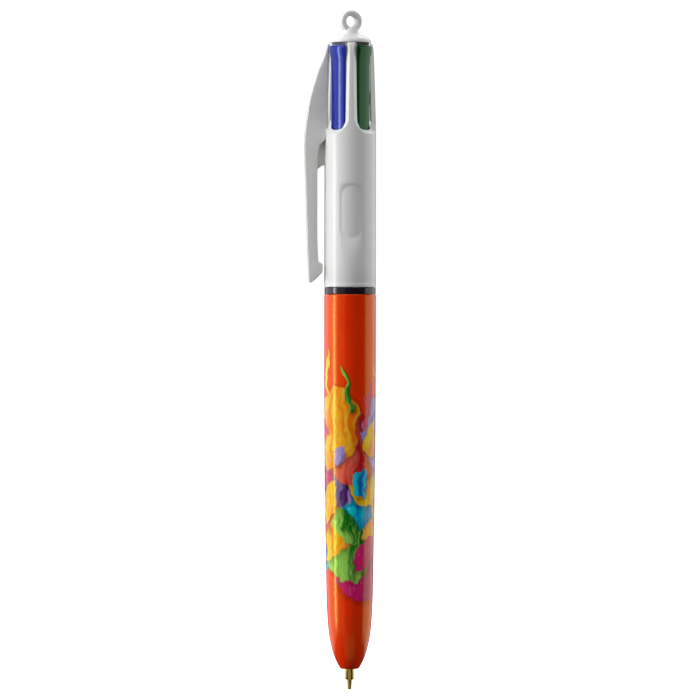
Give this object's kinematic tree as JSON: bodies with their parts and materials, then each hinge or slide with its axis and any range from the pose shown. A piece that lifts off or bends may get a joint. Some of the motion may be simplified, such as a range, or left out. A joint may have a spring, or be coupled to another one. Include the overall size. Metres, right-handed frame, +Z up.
{
  "type": "multicolor click pen",
  "caption": "Retractable pen with coloured sliders in a slotted crown, side pocket clip, lanyard eyelet, joint ring and screw-on printed lower barrel.",
  "frame": {"origin": "lowest point of the writing ball that is out, on the barrel's axis", "axes": "+Z up the barrel's axis to the lanyard eyelet, -X towards the pocket clip, -Y the front"},
  "size_m": [0.0158, 0.0114, 0.149],
  "materials": {
    "white_plastic": "smooth moulded plastic with a soft gloss",
    "printed_barrel": "gloss orange-red plastic with a printed paint-splash pattern",
    "black_ring": "satin black plastic",
    "guide_plastic": "natural moulded plastic",
    "brass": "turned brass",
    "steel": "drawn spring wire",
    "ball_metal": "polished ball",
    "blue_plastic": "gloss blue plastic",
    "green_plastic": "gloss green plastic",
    "red_plastic": "gloss red plastic",
    "black_plastic": "gloss black plastic",
    "blue_refill": "translucent tube over blue ink",
    "green_refill": "translucent tube over green ink",
    "red_refill": "translucent tube over red ink",
    "black_refill": "translucent tube over black ink"
  },
  "bodies": {
    "upper_body": {"upper_barrel": "white_plastic", "top_cap": "white_plastic", "slider_core": "white_plastic", "refill_guide": "guide_plastic", "blue_spring": "steel", "green_spring": "steel", "red_spring": "steel", "black_spring": "steel"},
    "clip": {"pocket_clip": "white_plastic"},
    "joint_ring": {"joint_ring": "black_ring"},
    "lower_body": {"lower_barrel": "printed_barrel"},
    "blue_slider": {"blue_slider": "blue_plastic"},
    "blue_refill": {"blue_refill_tube": "blue_refill", "blue_point": "brass"},
    "blue_ball": {"blue_ball": "ball_metal"},
    "green_slider": {"green_slider": "green_plastic"},
    "green_refill": {"green_refill_tube": "green_refill", "green_point": "brass"},
    "green_ball": {"green_ball": "ball_metal"},
    "red_slider": {"red_slider": "red_plastic"},
    "red_refill": {"red_refill_tube": "red_refill", "red_point": "brass"},
    "red_ball": {"red_ball": "ball_metal"},
    "black_slider": {"black_slider": "black_plastic"},
    "black_refill": {"black_refill_tube": "black_refill", "black_point": "brass"},
    "black_ball": {"black_ball": "ball_metal"}
  },
  "joints": [
    {"name": "barrel_unscrew", "type": "slide", "parent": "upper_body", "child": "joint_ring", "axis": [0, 0, -1], "range_m": [0, 0.006]},
    {"name": "barrel_turn", "type": "hinge", "parent": "joint_ring", "child": "lower_body", "pos_m": [0, 0, 0.0867], "axis": [0, 0, -1], "range_deg": [0, 1440]},
    {"name": "clip_flex", "type": "hinge", "parent": "upper_body", "child": "clip", "pos_m": [-0.0086, 0, 0.1138], "axis": [0, 1, 0], "range_deg": [0, 7], "stiffness_Nm_per_rad": 1},
    {"name": "blue_slide", "type": "slide", "parent": "upper_body", "child": "blue_slider", "axis": [0, 0, -1], "range_m": [0, 0.01], "stiffness_N_per_m": 150, "springref_m": -0.005, "deforming": ["blue_spring", "blue_refill_tube", "blue_point", "blue_ball"]},
    {"name": "blue_swing", "type": "hinge", "parent": "blue_slider", "child": "blue_refill", "pos_m": [-0.00173, -0.00173, 0.1183], "axis": [0.7071, -0.7071, 0], "range_deg": [0, 1.3]},
    {"name": "green_slide", "type": "slide", "parent": "upper_body", "child": "green_slider", "axis": [0, 0, -1], "range_m": [0, 0.01], "stiffness_N_per_m": 150, "springref_m": -0.005, "deforming": ["green_spring", "green_refill_tube", "green_point", "green_ball"]},
    {"name": "green_swing", "type": "hinge", "parent": "green_slider", "child": "green_refill", "pos_m": [0.00173, -0.00173, 0.1183], "axis": [0.7071, 0.7071, 0], "range_deg": [0, 1.3]},
    {"name": "red_slide", "type": "slide", "parent": "upper_body", "child": "red_slider", "axis": [0, 0, -1], "range_m": [0, 0.01], "stiffness_N_per_m": 150, "springref_m": -0.005, "deforming": ["red_spring", "red_refill_tube", "red_point", "red_ball"]},
    {"name": "red_swing", "type": "hinge", "parent": "red_slider", "child": "red_refill", "pos_m": [-0.00173, 0.00173, 0.1183], "axis": [-0.7071, -0.7071, 0], "range_deg": [0, 1.3]},
    {"name": "black_slide", "type": "slide", "parent": "upper_body", "child": "black_slider", "axis": [0, 0, -1], "range_m": [-0.01, 0], "deforming": ["black_spring", "black_refill_tube", "black_point", "black_ball"]},
    {"name": "black_swing", "type": "hinge", "parent": "black_slider", "child": "black_refill", "pos_m": [0.00173, 0.00173, 0.1083], "axis": [-0.7071, 0.7071, 0], "range_deg": [-1.3, 0]},
    {"name": "writing_ball_blue", "type": "hinge", "parent": "blue_refill", "child": "blue_ball", "pos_m": [-0.00173, -0.00173, 0.0104], "axis": [1, 0, 0], "continuous": true},
    {"name": "writing_ball_green", "type": "hinge", "parent": "green_refill", "child": "green_ball", "pos_m": [0.00173, -0.00173, 0.0104], "axis": [1, 0, 0], "continuous": true},
    {"name": "writing_ball_red", "type": "hinge", "parent": "red_refill", "child": "red_ball", "pos_m": [-0.00173, 0.00173, 0.0104], "axis": [1, 0, 0], "continuous": true},
    {"name": "writing_ball_black", "type": "hinge", "parent": "black_refill", "child": "black_ball", "pos_m": [0, 0, 0.0004], "axis": [1, 0, 0], "continuous": true}
  ],
  "couplings": [
    {"joint": "barrel_turn", "follows": "barrel_unscrew", "rad_per_m": 4188.8},
    {"joint": "blue_swing", "follows": "blue_slide", "rad_per_m": 2.2618},
    {"joint": "green_swing", "follows": "green_slide", "rad_per_m": 2.2618},
    {"joint": "red_swing", "follows": "red_slide", "rad_per_m": 2.2618},
    {"joint": "black_swing", "follows": "black_slide", "rad_per_m": 2.2618}
  ]
}
